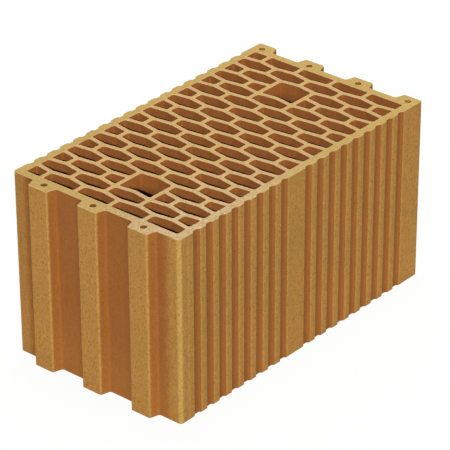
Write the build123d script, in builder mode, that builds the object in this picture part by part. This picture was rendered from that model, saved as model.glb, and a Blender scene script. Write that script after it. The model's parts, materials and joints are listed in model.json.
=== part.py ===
from build123d import *
import os

# A hollow clay block: one column of clay pressed through a die, cut to height by a wire, dried and fired.
# X runs along the wall, Y across it and Z up. The origin lies under the middle of the lower bed face.

# Overall size
laying_length = 440.0  # along the wall, from the tongue fronts of one end to the recess floors of the other
width = 250.0  # across the wall, over the ridges of the long faces
height = 238.0  # from bed face to bed face

# Walls
end_wall = 10.5  # from a recess floor to the first column of cells
side_wall = 11.6  # from the ridges to the ends of the columns
web = 6.1  # between neighbouring cells of two columns
cross_web = 5.8  # between neighbouring cells of one column

# Cells
columns = 19  # side by side along X
knee_steps = 9  # across the block: four whole cells of two steps and a half cell of one
web_swing = 1.9  # of a zigzag web at its knees, to either side of its straight line
waist_radius = 10.0  # where a whole cell is widest
cell_corner_cut = 1.4  # of the slanted corners at a cell's ends

# Grip holes, each two columns wide: first web line, last web line, lower knee, upper knee
grips = [(2, 4, 3, 5), (15, 17, 4, 6)]

# Tongues of the two ends
tongue_depth = 13.0  # from recess floor to tongue front
tongue_tip_width = 28.0
tongue_draft = 3.5  # by which a flank flares from tip to base
corner_tongue_inset = 12.5  # of the corner tongues' middles from the long faces
tongue_gaps = 3  # between the middles of the two corner tongues
tongue_tip_radius = 2.5
tongue_base_radius = 3.5
tongue_hole_diameter = 8.0

# Plaster grooves of the long faces, one in line with each web between two columns
groove_depth = 2.6
groove_floor_width = 6.0
groove_flank = 2.75  # run of a sloping flank from floor to mouth
groove_mouth_radius = 1.6
groove_floor_radius = 1.2
plain_web_line = 9  # has no groove on the -Y face, which leaves a flat band

corner_radius = 4.5  # of the two upright corners with no tongue

# Spacings that follow
body_length = laying_length - tongue_depth
column_pitch = (body_length - 2 * end_wall + web) / columns
knee_step = (width - 2 * side_wall + cross_web) / knee_steps
tongue_pitch = (width - 2 * corner_tongue_inset) / tongue_gaps
floor_x = body_length / 2
front_x = floor_x + tongue_depth
hole_x = (front_x + floor_x - end_wall) / 2
side_y = width / 2


def line_x(line):
    """X of a straight web line. Lines 0 and columns run half a web inside the end walls."""
    return (line - columns / 2) * column_pitch


def knee_y(knee):
    """Y of a knee, where the webs change direction and the cross webs meet them."""
    return (knee - knee_steps / 2) * knee_step


def web_point(line, knee):
    """Knee of a zigzag web. Neighbouring webs swing in opposite ways, and the end walls are straight."""
    swing = web_swing if (line + knee) % 2 == 0 else -web_swing
    if line in (0, columns):
        swing = 0
    return Vector(line_x(line) + swing, knee_y(knee))


def along_web(line, low, high):
    """Points of a web line from the cross web at its low knee to the cross web at its high knee."""
    knees = [web_point(line, knee) for knee in range(low, high + 1)]
    cut_share = cross_web / 2 / knee_step
    first = knees[0] + (knees[1] - knees[0]) * cut_share
    last = knees[-1] + (knees[-2] - knees[-1]) * cut_share
    bends = knees[1:-1] if 0 < line < columns else []
    return [first, *bends, last]


def cell(left_line, right_line, low, high):
    """Mouth of one cell: the field between two web lines and two cross webs, less half a web all round."""
    half_web = Vector(web / 2, 0)
    left = [point + half_web for point in along_web(left_line, low, high)]
    right = [point - half_web for point in along_web(right_line, low, high)]
    with BuildSketch() as mouth:
        with BuildLine():
            Polyline(*left, *reversed(right), close=True)
        make_face()
        for waist in mouth.vertices().group_by(Axis.Y)[1:-1]:
            fillet(waist, waist_radius)
        for end in (0, -1):
            chamfer(mouth.vertices().group_by(Axis.Y)[end], cell_corner_cut)
    return mouth.sketch


def cross_webs(column):
    """Knees at which a column is divided. Its half cell lies at +Y in odd columns and at -Y in even ones."""
    first = 2 if column % 2 else 1
    knees = {0, *range(first, knee_steps, 2), knee_steps}
    for first_line, last_line, low, high in grips:
        if first_line < column <= last_line:
            knees = (knees - set(range(low, high))) | {low, high}
    return sorted(knees)


def column_cells(column):
    """Cells of one column, apart from the stretch that a grip hole takes up."""
    taken = [low for first, last, low, high in grips if first < column <= last]
    knees = cross_webs(column)
    return [
        cell(column - 1, column, low, high)
        for low, high in zip(knees, knees[1:])
        if low not in taken
    ]


def flank(end, tip_y, flare):
    """Base and tip of a tongue's flank, which flares to -Y or +Y, or runs straight in a long face."""
    return (end * floor_x, tip_y + flare * tongue_draft), (end * front_x, tip_y)


def tongue(low_flank, high_flank):
    """A tongue between two flanks."""
    Polygon(*low_flank, *reversed(high_flank))


def low_tip(middle):
    return middle - tongue_tip_width / 2


def high_tip(middle):
    return middle + tongue_tip_width / 2


# Middles of the tongues: those of the -X end face the gaps of the +X end
corner_middle = side_y - corner_tongue_inset
inner_middles = [corner_middle - n * tongue_pitch for n in range(1, tongue_gaps)]
facing_middles = [corner_middle - (n + 1 / 2) * tongue_pitch for n in range(tongue_gaps)]
hole_places = [(-hole_x, middle) for middle in facing_middles]
hole_places += [(hole_x, middle) for middle in (corner_middle, *inner_middles, -corner_middle)]

# All cells and grip holes
cells = [mouth for column in range(1, columns + 1) for mouth in column_cells(column)]
cells += [cell(*grip) for grip in grips]

# The block: its section, drawn once and pressed to full height
with BuildPart() as clay_brick:
    with BuildSketch() as section:
        Rectangle(body_length, width)

        # Tongues of both ends
        for middle in facing_middles:
            tongue(flank(-1, low_tip(middle), -1), flank(-1, high_tip(middle), 1))
        for middle in inner_middles:
            tongue(flank(1, low_tip(middle), -1), flank(1, high_tip(middle), 1))
        tongue(flank(1, low_tip(corner_middle), -1), flank(1, side_y, 0))
        tongue(flank(1, -side_y, 0), flank(1, high_tip(-corner_middle), 1))

        # Grooves of both long faces
        grooved_lines = range(1, columns)
        groove_places = [Location((line_x(line), side_y), 180) for line in grooved_lines]
        for line in grooved_lines:
            if line != plain_web_line:
                groove_places.append(Location((line_x(line), -side_y)))
        mouth_half = groove_floor_width / 2 + groove_flank
        floor_half = groove_floor_width / 2
        with Locations(*groove_places):
            Polygon(
                (-mouth_half, 0),
                (mouth_half, 0),
                (floor_half, groove_depth),
                (-floor_half, groove_depth),
                mode=Mode.SUBTRACT,
            )

        # Rounding of the tongues, whose bases and tips lie between the corners of the block
        inner_y = side_y - corner_radius
        for rank, radius in ((1, tongue_base_radius), (0, tongue_tip_radius)):
            ranks = section.vertices().group_by(Axis.X)
            edges = ranks[rank] + ranks[-1 - rank]
            fillet(edges.filter_by_position(Axis.Y, -inner_y, inner_y), radius)

        # Rounding of the grooves' floors, of the corners and of the grooves' mouths
        for side, next_in in ((0, 1), (-1, -2)):
            fillet(section.vertices().group_by(Axis.Y)[next_in], groove_floor_radius)
            for end, radius in ((0, corner_radius), (-1, tongue_tip_radius)):
                fillet(section.vertices().group_by(Axis.Y)[side].sort_by(Axis.X)[end], radius)
            mouths = section.vertices().group_by(Axis.Y)[side].sort_by(Axis.X)
            fillet(mouths[1:-1], groove_mouth_radius)

        # Cells, grip holes and tongue holes
        add(cells, mode=Mode.SUBTRACT)
        with Locations(*hole_places):
            Circle(tongue_hole_diameter / 2, mode=Mode.SUBTRACT)

    extrude(amount=height)

os.makedirs("parts", exist_ok=True)
clay_brick.part.label = "clay_brick"
export_step(clay_brick.part, "parts/clay_brick.step")
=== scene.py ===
import json
import math
from types import SimpleNamespace

import bmesh
import bpy
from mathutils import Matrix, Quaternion, Vector, noise


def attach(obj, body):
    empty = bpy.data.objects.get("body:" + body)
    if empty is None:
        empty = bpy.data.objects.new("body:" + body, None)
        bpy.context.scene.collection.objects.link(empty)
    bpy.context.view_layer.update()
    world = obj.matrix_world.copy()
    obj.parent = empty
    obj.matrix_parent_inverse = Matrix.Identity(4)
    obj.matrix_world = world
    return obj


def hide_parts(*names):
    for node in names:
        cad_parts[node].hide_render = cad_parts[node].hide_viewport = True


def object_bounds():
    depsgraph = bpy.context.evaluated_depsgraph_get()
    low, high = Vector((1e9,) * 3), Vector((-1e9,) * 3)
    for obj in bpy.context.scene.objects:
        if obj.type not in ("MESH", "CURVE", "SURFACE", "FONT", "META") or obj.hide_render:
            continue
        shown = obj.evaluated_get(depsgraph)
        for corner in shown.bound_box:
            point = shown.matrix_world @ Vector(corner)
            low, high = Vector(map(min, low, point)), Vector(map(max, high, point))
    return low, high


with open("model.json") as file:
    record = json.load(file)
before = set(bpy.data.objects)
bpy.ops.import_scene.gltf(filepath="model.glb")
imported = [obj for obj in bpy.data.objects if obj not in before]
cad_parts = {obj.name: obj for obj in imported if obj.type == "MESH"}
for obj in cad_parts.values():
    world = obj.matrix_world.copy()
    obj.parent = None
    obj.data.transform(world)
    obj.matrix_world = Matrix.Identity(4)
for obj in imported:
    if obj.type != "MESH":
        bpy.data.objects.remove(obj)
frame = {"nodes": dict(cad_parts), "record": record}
cad_low, cad_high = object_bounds()

# Measures of the block in metres, from the frame and from its section
front_x, side_y, height = cad_high      # tongue fronts, ridges of the long faces, upper bed face
tongue_depth = 0.013                    # from recess floor to tongue front
tongue_pitch = 0.075                    # between the middles of two tongues
floor_x = front_x - tongue_depth        # recess floors between the tongues
end_wall = 0.0105
side_wall = 0.0116
columns = 19                            # of cells; grooves lie in line with the webs between them
web = 0.0061                            # between cells of two columns
cross_web = 0.0058                      # between two cells of one column
column_pitch = (2 * (floor_x - end_wall) + web) / columns
knee_steps = 9                          # across the block, two to a whole cell
knee_step = (2 * (side_y - side_wall) + cross_web) / knee_steps
openings = {opening["name"]: opening["box_m"] for opening in frame["record"]["physics"]["openings"]}
grip_low, grip_high = (Vector(corner) for corner in openings["near_grip_hole"])
grip_middle = (grip_low + grip_high) / 2
grip_half = (grip_high - grip_low) / 2


# The block, from a merged copy of its pressed section

same_point = 1e-6                       # distance within which two points are one
same_level = 1e-5                       # distance within which a point lies at the level of a bed
straight_angle = math.radians(0.5)      # up to which two wall faces become one
corner_angle = math.radians(30)         # past which an upright edge is a cell's corner
smooth_angle = math.radians(40)         # up to which an edge is shaded smooth
flat_share = 0.999                      # of Z in the normal of a bed, at least
upright_share = 0.02                    # of Z in the normal of a wall, at most
worn_shares = 0.2, 0.97                 # of Z in the normals of the rims between them
corner_round = 0.00075                  # at the slanted corners of the cells
corner_segments = 2
rim_round = 0.00035                     # of the wire-cut rims
rim_segments = 3
rim_piece = 0.0045                      # longest stretch of rim between two points
rim_band = 0.001                        # width of the band on the bed beside a rim that is painted paler, as a highlight
rim_wear = 0.00015                      # depth of the crumbled rims
wear_scale = 310                        # swings of the wear to the metre
wear_more = 0.25                        # raises the noise, so that most of a rim is worn
chip_depth = 0.00045                    # depth of the few larger chips
chip_scale = 62
chip_shift = Vector((7, 3, 0))          # keeps the chips from following the wear
chip_less = 0.42                        # lowers the noise, so that chips are few
chip_gain = 4


def is_flat_bed(face):
    return abs(face.normal.z) > flat_share


def is_upright(face):
    return abs(face.normal.z) < upright_share


def is_rim_at(edge, level):
    return edge.is_boundary and all(abs(vert.co.z - level) < same_level for vert in edge.verts)


def is_between_wall_and_bed(edge):
    return edge.is_manifold and is_flat_bed(edge.link_faces[0]) != is_flat_bed(edge.link_faces[1])


def soften(block, edges, offset, segments):
    bmesh.ops.bevel(
        block, geom=edges, offset=offset, offset_type="OFFSET", affect="EDGES",
        segments=segments, profile=0.5, material=-1, clamp_overlap=False,
    )


def pressed_walls(node):
    """The upright walls of the section alone, with rounded cell corners, divided along their rims."""
    block = bmesh.new()
    block.from_mesh(node.data)
    bmesh.ops.remove_doubles(block, verts=block.verts, dist=same_point)
    beds = [face for face in block.faces if is_flat_bed(face)]
    bmesh.ops.delete(block, geom=beds, context="FACES")
    bmesh.ops.dissolve_limit(block, angle_limit=straight_angle, verts=block.verts, edges=block.edges)
    corners = [edge for edge in block.edges if edge.is_manifold and edge.calc_face_angle(0) > corner_angle]
    soften(block, corners, corner_round, corner_segments)
    by_cuts = {}
    for edge in block.edges:
        if edge.is_boundary and edge.calc_length() > rim_piece:
            by_cuts.setdefault(int(edge.calc_length() / rim_piece), []).append(edge)
    for cuts, edges in sorted(by_cuts.items()):
        bmesh.ops.subdivide_edges(block, edges=edges, cuts=cuts, use_grid_fill=True)
    return block


def cut_beds(block):
    """Fills both bed faces round the mouths of the cells, softens the rims that the wire leaves, and marks
    the band beside them where a highlight is painted.
    """
    for level in (0, height):
        rim = [edge for edge in block.edges if is_rim_at(edge, level)]
        bmesh.ops.triangle_fill(block, edges=rim, use_beauty=True, use_dissolve=False)
    bmesh.ops.recalc_face_normals(block, faces=block.faces)
    rims = [edge for edge in block.edges if is_between_wall_and_bed(edge)]
    soften(block, rims, rim_round, rim_segments)
    beds = [face for face in block.faces if is_flat_bed(face)]
    bmesh.ops.inset_region(block, faces=beds, thickness=rim_band, use_boundary=True, use_even_offset=True)
    # The band beside the rims, where a highlight is painted
    worn = block.verts.layers.float.new("worn_rim")
    for vert in block.verts:
        vert[worn] = 0.0 if all(is_flat_bed(face) for face in vert.link_faces) else 1.0


def crumble(block):
    """Wears the rims unevenly, always inwards, with a chip here and there."""
    block.normal_update()
    wall_share, bed_share = worn_shares
    for vert in block.verts:
        if wall_share < abs(vert.normal.z) < bed_share:
            wear = max(0, noise.noise(vert.co * wear_scale) + wear_more)
            chip = max(0, noise.noise(vert.co * chip_scale + chip_shift) - chip_less)
            vert.co -= vert.normal * (rim_wear * wear + chip_depth * min(1, chip * chip_gain))
    block.normal_update()


def hollow_block(node):
    block = pressed_walls(node)
    cut_beds(block)
    crumble(block)
    for face in block.faces:
        face.smooth = True
    for edge in block.edges:
        kinds = {(is_flat_bed(face), is_upright(face)) for face in edge.link_faces}
        edge.smooth = len(kinds) == 1 and edge.calc_face_angle(0) < smooth_angle
    mesh = bpy.data.meshes.new("hollow_clay_block")
    block.to_mesh(mesh)
    block.free()
    return mesh


block = bpy.data.objects.new("hollow_clay_block", hollow_block(frame["nodes"]["clay_brick"]))
bpy.context.scene.collection.objects.link(block)
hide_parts("clay_brick")
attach(block, "root")


# Shader maths

class Field:
    """A socket whose sums and products add Math nodes."""

    def __init__(self, tree, socket=None):
        self.tree = tree
        self.socket = socket

    def node(self, kind, settings=None, out=0, **inputs):
        """A node with its settings and inputs. An input is named, or numbered as i0, i1 and so on."""
        made = self.tree.nodes.new(kind)
        for name, value in (settings or {}).items():
            setattr(made, name, value)
        for name, value in inputs.items():
            socket = made.inputs[int(name[1:]) if name[1:].isdigit() else name.replace("_", " ")]
            if isinstance(value, Field):
                self.tree.links.new(value.socket, socket)
            else:
                socket.default_value = value
        return Field(self.tree, made.outputs[out]) if made.outputs else None

    def math(self, operation, *values):
        inputs = {f"i{n}": value for n, value in enumerate(values)}
        return self.node("ShaderNodeMath", {"operation": operation}, **inputs)

    def __add__(self, other):
        return self.math("ADD", self, other)

    def __radd__(self, other):
        return self.math("ADD", other, self)

    def __sub__(self, other):
        return self.math("SUBTRACT", self, other)

    def __rsub__(self, other):
        return self.math("SUBTRACT", other, self)

    def __mul__(self, other):
        return self.math("MULTIPLY", self, other)

    def __rmul__(self, other):
        return self.math("MULTIPLY", other, self)

    def __truediv__(self, other):
        return self.math("DIVIDE", self, other)

    def __neg__(self):
        return self.math("MULTIPLY", self, -1)

    def size(self):
        return self.math("ABSOLUTE", self)

    def whole(self):
        return self.math("FLOOR", self)

    def fraction(self):
        return self.math("FRACT", self)

    def least(self, other):
        return self.math("MINIMUM", self, other)

    def most(self, other):
        return self.math("MAXIMUM", self, other)

    def rise(self, low, high):
        """0 at low, 1 at high, smooth between."""
        settings = {"interpolation_type": "SMOOTHSTEP"}
        return self.node("ShaderNodeMapRange", settings, Value=self, From_Min=low, From_Max=high)

    def fall(self, low, high):
        """1 at low, 0 at high, smooth between."""
        return 1 - self.rise(low, high)

    def band(self, low, high, last, end):
        """Rises from low to high, and falls from last to end."""
        return self.rise(low, high) * self.fall(last, end)

    def parts(self):
        return [self.node("ShaderNodeSeparateXYZ", out=n, Vector=self) for n in range(3)]

    def stretched(self, x, y, z):
        return self.node("ShaderNodeVectorMath", {"operation": "MULTIPLY"}, i0=self, i1=(x, y, z))

    def distance(self, point):
        return self.node("ShaderNodeVectorMath", {"operation": "DISTANCE"}, out=1, i0=self, i1=point)

    def length(self):
        return self.node("ShaderNodeVectorMath", {"operation": "LENGTH"}, out=1, i0=self)

    def grain(self, scale, detail, roughness=0.5):
        """Soft noise about 0, from -1 to 1, with that many swings to the metre."""
        soft = self.node("ShaderNodeTexNoise", Vector=self, Scale=scale, Detail=detail, Roughness=roughness)
        return (soft - 0.5) * 2

    def specks(self, scale, radius, share):
        """Round specks, one at most in each cell of a scattered lattice, in about that share of the cells."""
        soft_share = 0.02
        settings = {"feature": "F1"}
        reach = self.node("ShaderNodeTexVoronoi", settings, Vector=self, Scale=scale)
        tint = self.node("ShaderNodeTexVoronoi", settings, out=1, Vector=self, Scale=scale)
        draw = self.node("ShaderNodeSeparateColor", Color=tint)
        speck = reach.fall(radius * scale / 2, radius * scale)
        return speck * draw.fall(share - soft_share, share + soft_share)

    def mixed(self, first, second, share):
        return self.node("ShaderNodeMix", {"data_type": "RGBA"}, out=2, i0=share, i6=first, i7=second)

    def blend(self, other, share):
        """This colour, mixed with another."""
        return self.mixed(self, other, share)

    def layered(self, *layers):
        """This colour under layers of others, each with the place where it lies and its share there."""
        seen = self
        for other, place, share in layers:
            seen = seen.blend(other, place * share)
        return seen

    def shaded(self, factor):
        """This colour, lighter or darker."""
        return self.node("ShaderNodeVectorMath", {"operation": "SCALE"}, i0=self, Scale=factor)


def linear(value):
    """A part of a colour as it is seen, 0 to 255, as a shader value."""
    share = value / 255
    return share / 12.92 if share <= 0.04045 else ((share + 0.055) / 1.055) ** 2.4


def colour(red, green, blue):
    return [linear(red), linear(green), linear(blue), 1.0]


# Fired clay

# Colours of the upright faces: tan where they stand out; where they are sunk, darker and redder, as painted
# shade in the hollows
tan_skin = colour(167, 124, 59)
warm_skin = colour(172, 123, 60)
# Painted highlights: on the rounded lip of a groove towards -X, and on the ridge beside its other side
groove_mouth_highlight = colour(214, 166, 92)
groove_lip_highlight = colour(186, 136, 73)
# Painted highlights along the edges of the tongue fronts, and down the upright corners of the -X end
tongue_tip_highlight = colour(186, 143, 78)
corner_highlight = colour(190, 152, 80)
recess_red = colour(149, 93, 42)
groove_red = colour(145, 91, 39)
groove_shade = colour(126, 78, 28)
# Painted light on the flanks of the tongues that face -Y
flank_painted_light = colour(163, 101, 44)
# Painted light near the floor, in the recesses
recess_foot_painted_light = colour(172, 118, 56)
cell_red = colour(155, 94, 45)
# Painted light on the end walls of the cells
cell_end_painted_light = colour(186, 116, 53)
pore_brown = colour(112, 76, 28)

# Colours of the cut beds
wall_sand = colour(206, 171, 97)
knee_sand = colour(217, 178, 111)
web_sand = colour(219, 177, 120)
bloom_sand = colour(220, 188, 139)
pale_grit = colour(242, 226, 184)
bed_pore_brown = colour(120, 94, 58)
# Painted highlights, paler than the bed: on the band beside the rims, and on the rounded rims
rim_highlight_sand = colour(228, 196, 144)
rim_bevel_highlight = colour(222, 186, 128)

# Limits between the faces, each from its first value to its last, as shares of one axis in the normal
bed_shares = 0.8, 0.97
rim_shares = 0.05, 0.2
cell_end_shares = 0.6, 0.95
flank_shares = 0.5, 0.9
sheltered_shares = 0.3, 0.7

# Limits of places on the block, in metres
block_halves = -0.01, 0.01                  # from one half of the block to the other
wall_x = floor_x - end_wall / 2             # middle of an end wall
wall_y = side_y - side_wall / 2             # and of a side wall
end_wall_limit = wall_x - 0.001, wall_x
side_wall_limit = wall_y - 0.001, wall_y
cells_x = floor_x - end_wall                # where the field of cells ends
cells_y = side_y - side_wall
cells_limit_x = cells_x - 0.001, cells_x + 0.002
cells_limit_y = cells_y - 0.001, cells_y + 0.002
grip_limit_x = grip_half.x + 0.0055, grip_half.x + 0.0065
grip_limit_y = grip_half.y + 0.003, grip_half.y + 0.005
long_face_end = floor_x - 0.012, floor_x - 0.010
foot_height = 0, 0.11                       # up to which the clay is painted lighter, as if by the floor

# Limits at the grooves
groove_halves = -0.0022, 0.0026             # from the half towards -X to the other one
groove_start = 0.00004, 0.00025             # depth at which the red sets in
groove_start_more = 0.0005, 0.0008          # added to it in the half towards -X
# Depth at which the painted highlight of a groove's mouth begins
mouth_start = 0.00002, 0.00015
lip_band = 0.0054, 0.0064, 0.0078, 0.0098   # of the painted highlight beside a groove, from its web line
plain_half = 0.0100, 0.0104                 # half width of the flat band that has no groove

# Limits at the tongues
front_depth = 0.001, 0.003                  # behind the tongue fronts, which are painted lighter
recess_start = 0.0018, 0.0034
# Band of the painted highlight along the edges of a tongue front
tip_band = 0.00004, 0.0002, 0.0012, 0.0022
corner_half = 0.0030, 0.0062                # of the upright corners that have no tongue, where a highlight is painted
corner_depth = 0.002, 0.006
recess_edge = 0.100, 0.113                  # where the red of the recesses ends at the corners
ragged_reach = {"patch": 0.004, "mottle": 0.003}    # by which each grain shifts that edge
tongue_lee_reach = 0.022, 0.036             # reach of the painted shade from a tongue's middle, on its side towards +Y
tongue_lee_edge = 0.090, 0.095
# Where the recess beside the last tongue towards +Y, on the -X end, is painted in shade
corner_lee_band = 0.094, 0.096, 0.099, 0.112

# Limits on the beds
bloom_reach = 0.01, 0.25
knee_reach = 0.003, 0.008
long_wall_limit = -0.117, -0.109

# Depth at which the painted dark of the cells begins
cell_reach = 0.0096
grip_reach_more = 0.0125                    # in a grip hole
slant_share = 0.79                          # of the way from a cell's end, on the sheltered walls
dark_start = 0, 0.0016
dusk_start = -0.012, 0                      # in a grip hole, where the dark begins softly

# How much each grain lightens or lifts the clay
skin_tone_shares = {"patch": 0.10, "mottle": 0.22, "sand": 0.46}
bed_tone_shares = {"patch": 0.07, "mottle": 0.14, "sand": 0.16, "drag": 0.06, "cloud": 0.07}
bloom_tone_shares = {"mottle": 0.2, "sand": 0.34}
relief_shares = {"mottle": 0.5, "sand": 0.35, "pores": -0.7, "pits": -0.9}
wall_relief_shares = {"lines": 0.45}
bed_relief_shares = {"drag": 0.4, "grit": 0.3}


def clay_grain(position):
    """Unevenness of the clay, from tone shifts over the hand's breadth down to sand."""
    down_the_die = position.stretched(1, 1, 0.02)
    along_the_wire = position.stretched(0.05, 1, 1)
    return SimpleNamespace(
        cloud=position.grain(16, detail=3),
        patch=position.grain(80, detail=3, roughness=0.6),
        mottle=position.grain(300, detail=3, roughness=0.7),
        sand=position.grain(620, detail=2, roughness=0.6),
        lines=down_the_die.grain(420, detail=2, roughness=0.6),
        drag=along_the_wire.grain(700, detail=2, roughness=0.6),
        pores=position.stretched(1, 1, 0.75).specks(300, radius=0.0014, share=0.55),
        pits=position.specks(130, radius=0.0017, share=0.2),
        grit=position.specks(420, radius=0.0010, share=0.35),
    )


def summed(grain, shares):
    """Sum of the grains that a table names, each times its value there."""
    return sum(getattr(grain, name) * share for name, share in shares.items())


def faces_of_block(start, position):
    """Beds, rims and walls, as places from 0 to 1, with the distances that the other places need."""
    x, y, z = position.parts()
    facing_x, facing_y, facing_z = start.node("ShaderNodeNewGeometry", out=1).parts()
    at = SimpleNamespace(x=x, y=y, z=z, along=x.size(), across=y.size(), facing_x=facing_x, facing_y=facing_y)
    tilt = facing_z.size()
    at.bed = tilt.rise(*bed_shares)
    at.rim = tilt.rise(*rim_shares) * (1 - at.bed)
    at.upright = tilt.fall(*rim_shares)
    at.worn_rim = start.node("ShaderNodeAttribute", {"attribute_name": "worn_rim"}, out=2) * at.bed
    at.inside = at.along.fall(*end_wall_limit) * at.across.fall(*side_wall_limit) * (1 - at.bed)
    at.end_face = at.along.rise(*end_wall_limit)
    at.foot = z.fall(*foot_height) * (1 - at.inside)
    at.back_half = y.rise(*block_halves)
    at.near_half = x.fall(*block_halves)
    at.sunk = side_y - at.across
    return at


def add_grooves(at):
    """Grooves of the long faces, with their mouths and lips, which carry painted highlights."""
    long_face = at.across.rise(*side_wall_limit) * at.along.fall(*long_face_end)
    from_web_line = ((at.x / column_pitch + columns).fraction() - 0.5) * column_pitch
    at.groove_side = from_web_line.fall(*groove_halves)
    start_low, start_high = (
        at.groove_side * more + low for low, more in zip(groove_start, groove_start_more)
    )
    at.groove = at.sunk.rise(start_low, start_high) * long_face
    ridge = long_face * (1 - at.groove)
    at.mouth = (at.sunk.rise(*mouth_start) * ridge).least(at.upright) * at.groove_side
    has_groove = (at.x + column_pitch / 2).size().rise(*plain_half).most(at.back_half)
    at.lip = from_web_line.band(*lip_band) * ridge * has_groove


def add_tongues(at, grain):
    """Tongues of the ends, with painted highlights at their tips and corners and painted light on their
    fronts, the recesses between them, and the painted shade beside a tongue.
    """
    back_share = 0.3                        # of the red that goes on into the corners at +Y
    behind_front = front_x - at.along
    at.front = behind_front.fall(*front_depth)
    at.tip = behind_front.band(*tip_band) * at.end_face
    at.corner = (at.x + floor_x).size().fall(*corner_half) * at.sunk.fall(*corner_depth)
    edge = (at.across + summed(grain, ragged_reach)).rise(*recess_edge) * (1 - at.back_half * back_share)
    at.recess = behind_front.rise(*recess_start) * at.end_face * (1 - edge)
    at.flank = at.recess * (-at.facing_y).rise(*flank_shares)
    past_tongue = (at.y / tongue_pitch).fraction() * tongue_pitch
    beside = past_tongue.fall(*tongue_lee_reach) * at.across.fall(*tongue_lee_edge)
    at.tongue_lee = beside * at.recess * at.near_half
    at.corner_lee = at.y.band(*corner_lee_band) * at.end_face * at.upright * at.near_half


def add_cells(at):
    """Cells and grip holes, and how far down in them the clay lies."""
    at.depth = at.z.least(height - at.z)    # below the nearer bed
    at.cell_end = at.inside * at.facing_y.size().rise(*cell_end_shares)
    at.sheltered = (-at.facing_x).rise(*sheltered_shares)
    column = (at.x / column_pitch + columns / 2).whole()
    at.knee = at.y / knee_step + knee_steps / 2
    in_cell = ((at.knee - (column / 2).fraction() * 2) / 2).fraction() * 2 * knee_step
    at.from_cell_end = in_cell - cross_web / 2      # the end towards -Y
    at.grip = 0
    for side in (1, -1):
        off_x = (at.x - side * grip_middle.x).size()
        off_y = (at.y - side * grip_middle.y).size()
        at.grip = at.grip + off_x.fall(*grip_limit_x) * off_y.fall(*grip_limit_y)


def skin_colour(start, at, grain):
    """The upright faces, with the walls of the cells, and the light and shade painted on them."""
    # The sunk faces, darker and redder as painted shade, and darker still in a groove's half towards -X, with
    # painted light on the flanks that face -Y and near the floor
    red = start.mixed(recess_red, groove_red, at.groove).layered(
        (groove_shade, at.groove * at.groove_side, 0.4),
        (flank_painted_light, at.flank, 1),
        (recess_foot_painted_light, at.foot * at.recess, 0.25),
    )
    sunken = at.groove.most(at.recess)
    # Painted highlights at the grooves, the tongue tips and the corners, over the painted shade of the sunk
    # faces
    skin = start.mixed(tan_skin, warm_skin, grain.cloud * 0.8 + 0.5).layered(
        (groove_mouth_highlight, at.mouth, 1),
        (groove_lip_highlight, at.lip, 0.6),
        (tongue_tip_highlight, at.tip, 0.5),
        (corner_highlight, at.corner, 0.75),
        (red, sunken, 1),
    )
    # Painted shade beside the tongues of the -X end, on their side towards +Y, and in the recess at the
    # corner towards +Y
    skin = skin.shaded(1 - at.corner_lee * 0.2 - at.tongue_lee * 0.13)
    speckle = (1 - at.inside * 0.3) * (1 - sunken * 0.35)
    gathered = (grain.patch * 1.6 + grain.cloud * 0.6 + 0.6).most(0)
    # The walls of the cells, darker and redder as painted shade, their end walls lighter as painted light
    skin = skin.layered(
        (cell_red, at.inside, 1),
        (cell_end_painted_light, at.inside * at.cell_end, 0.5),
        (pore_brown, (grain.pores * 0.5 + grain.pits * 0.18) * speckle, gathered),
    )
    tone = summed(grain, skin_tone_shares) * speckle + grain.lines * 0.06 + grain.cloud * 0.06
    # Painted light: the tongue fronts lighter, and the faces lighter towards the floor, as if lit from it
    painted_light_lift = at.front * 0.04 + at.foot * (0.09 - at.front * 0.06)
    return skin.shaded(1 + tone + painted_light_lift)


def darkened(skin, at):
    """The skin, painted dark deep in the cells, and further down in the grip holes, whose walls are painted a
    little lighter above the dark.
    """
    reach = at.grip * grip_reach_more + cell_reach
    sheltered = at.sheltered * (1 - at.grip)
    reach = reach - (reach - at.from_cell_end * slant_share).most(0) * sheltered
    below = at.depth - reach
    dark = at.inside * below.rise(*dark_start)
    dusk = at.inside * at.grip * below.rise(*dusk_start)
    return skin.shaded(1 + at.inside * at.grip * 0.08 - dusk * 0.3 - dark * (0.9 - dusk * 0.3))


def bed_colour(start, position, at, grain):
    """Sand torn loose by the wire, in bloom at the corner between the long face and the end in view."""
    stretch = Vector((0.8, 1.6, 1))
    corner = Vector((-floor_x, -side_y, height)) * stretch
    bloom = position.stretched(*stretch).distance(corner).fall(*bloom_reach)
    webs = at.along.fall(*cells_limit_x) * at.across.fall(*cells_limit_y)
    to_knee = (0.5 - (at.knee.fraction() - 0.5).size()) * knee_step
    cut = start.mixed(wall_sand, knee_sand, webs).layered(
        (web_sand, webs, to_knee.rise(*knee_reach)),
        (bloom_sand, bloom, 1),
        (pale_grit, grain.grit, bloom * 0.4 + 0.2),
        (bed_pore_brown, grain.pores * 0.5 + grain.pits * 0.5, bloom * 0.5 + 0.2),
    )
    tone = summed(grain, bed_tone_shares) + summed(grain, bloom_tone_shares) * bloom
    # Painted light: the bed over the long wall towards -Y, away from the bloom, is lighter
    long_wall = at.y.fall(*long_wall_limit) * (1 - bloom)
    cut = cut.shaded(1 + tone + long_wall * 0.05)
    # Painted highlight on the band beside the rims
    return cut.blend(rim_highlight_sand, at.worn_rim * (grain.mottle * 0.4 + 0.32))


def fine_relief(at, grain):
    """Relief too fine for the mesh."""
    on_walls = summed(grain, wall_relief_shares) * at.upright
    on_beds = summed(grain, bed_relief_shares) * at.bed
    return summed(grain, relief_shares) + on_walls + on_beds


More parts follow.
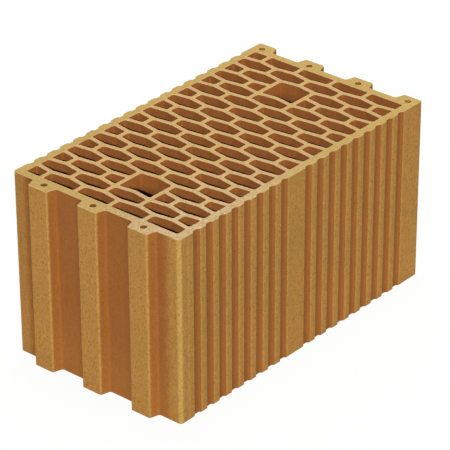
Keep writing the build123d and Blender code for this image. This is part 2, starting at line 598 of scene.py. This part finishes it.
def fired_clay():
    clay = bpy.data.materials.new("fired_clay")
    clay.use_nodes = True
    clay.node_tree.nodes.clear()
    start = Field(clay.node_tree)
    position = start.node("ShaderNodeTexCoord", out=3)
    grain = clay_grain(position)
    at = faces_of_block(start, position)
    add_grooves(at)
    add_tongues(at, grain)
    add_cells(at)
    skin = darkened(skin_colour(start, at, grain), at)
    # The cut beds, and the painted highlight on the rounded rims
    body = skin.layered(
        (bed_colour(start, position, at, grain), at.bed, 1),
        (rim_bevel_highlight, at.rim, grain.mottle * 0.4 + 0.75),
    )
    dull = 0.88 + grain.mottle * 0.05 + grain.pores * 0.05 - grain.lines * 0.03 * at.upright
    bumps = start.node("ShaderNodeBump", Strength=0.45, Distance=0.0004, Height=fine_relief(at, grain))
    surface = start.node(
        "ShaderNodeBsdfPrincipled", Base_Color=body, Roughness=dull, Normal=bumps, Specular_IOR_Level=0.2,
    )
    start.node("ShaderNodeOutputMaterial", Surface=surface)
    return clay


block.data.materials.clear()
block.data.materials.append(fired_clay())


# Floor, light and camera

floor_half = 30
white = (1, 1, 1, 1)
paper_white = (0.85, 0.85, 0.85, 1)
glow_strength = 1.02
room_strength = 0.08
backdrop_strength = 1.0
shadow_share = 0.07                     # of the lit paper in what the camera sees, near the block
shadow_reach = 0.25, 0.6                # from the block's middle to where that share has gone


def in_view(start):
    """1 for what the camera sees, also in a gloss."""
    return start.node("ShaderNodeLightPath", out=0).most(start.node("ShaderNodeLightPath", out=3))


def white_paper():
    """White where the camera sees it, with some of the lit paper near the block, which keeps its shadow."""
    paper = bpy.data.materials.new("white_paper")
    paper.use_nodes = True
    paper.node_tree.nodes.clear()
    start = Field(paper.node_tree)
    away = start.node("ShaderNodeTexCoord", out=3).length()
    glow_share = in_view(start) * (1 - away.fall(*shadow_reach) * shadow_share)
    lit = start.node("ShaderNodeBsdfDiffuse", Color=paper_white)
    glow = start.node("ShaderNodeEmission", Color=white, Strength=glow_strength)
    both = start.node("ShaderNodeMixShader", i0=glow_share, i1=lit, i2=glow)
    start.node("ShaderNodeOutputMaterial", Surface=both)
    return paper


def studio_floor():
    floor = bpy.data.meshes.new("studio_floor")
    sheet = bmesh.new()
    bmesh.ops.create_grid(sheet, x_segments=1, y_segments=1, size=floor_half)
    sheet.to_mesh(floor)
    sheet.free()
    piece = bpy.data.objects.new("studio_floor", floor)
    bpy.context.scene.collection.objects.link(piece)
    floor.materials.append(white_paper())


def studio_air():
    world = bpy.data.worlds.new("studio")
    bpy.context.scene.world = world
    world.use_nodes = True
    world.node_tree.nodes.clear()
    start = Field(world.node_tree)
    room = start.node("ShaderNodeBackground", Color=white, Strength=room_strength)
    backdrop = start.node("ShaderNodeBackground", Color=white, Strength=backdrop_strength)
    air = start.node("ShaderNodeMixShader", i0=in_view(start), i1=room, i2=backdrop)
    start.node("ShaderNodeOutputWorld", Surface=air)


def soft_lamp(name, place, target, size, power):
    lamp = bpy.data.lights.new(name, "AREA")
    lamp.shape = "SQUARE"
    lamp.size = size
    lamp.energy = power
    piece = bpy.data.objects.new(name, lamp)
    piece.location = place
    piece.rotation_mode = "QUATERNION"
    piece.rotation_quaternion = (Vector(target) - Vector(place)).to_track_quat("-Z", "Y")
    bpy.context.scene.collection.objects.link(piece)


def photo_camera():
    """The camera fitted to the photograph: its place, turn about Z, rise over the floor and lean."""
    place = (-2.129404, -1.819267, 1.687354)
    turn, rise, lean = (math.radians(angle) for angle in (-49.6311, 29.2140, -0.2076))
    camera = bpy.data.cameras.new("photo_camera")
    camera.lens = 217.4837
    camera.sensor_width = 36
    camera.clip_end = 100
    viewer = bpy.data.objects.new("photo_camera", camera)
    back = Vector((math.sin(turn) * math.cos(rise), -math.cos(turn) * math.cos(rise), math.sin(rise)))
    viewer.location = place
    viewer.rotation_mode = "QUATERNION"
    viewer.rotation_quaternion = (-back).to_track_quat("-Z", "Y") @ Quaternion((0, 0, 1), lean)
    bpy.context.scene.collection.objects.link(viewer)
    bpy.context.scene.camera = viewer


studio_floor()
studio_air()
soft_lamp("key_lamp", place=(-10.35, -7.97, 6.57), target=(0, 0, 0.2), size=0.6, power=1745)
soft_lamp("side_lamp", place=(0.9, -2.4, 1.2), target=(0, 0, 0.12), size=0.9, power=8)
soft_lamp("top_lamp", place=(0.3, 0.3, 2.8), target=(0, 0, 0.2), size=0.6, power=21)
soft_lamp("back_lamp", place=(1.7, 1.6, 1.2), target=(0, 0, 0.12), size=1.0, power=20)
photo_camera()
bpy.context.scene.view_settings.view_transform = "Standard"

bpy.context.view_layer.update()
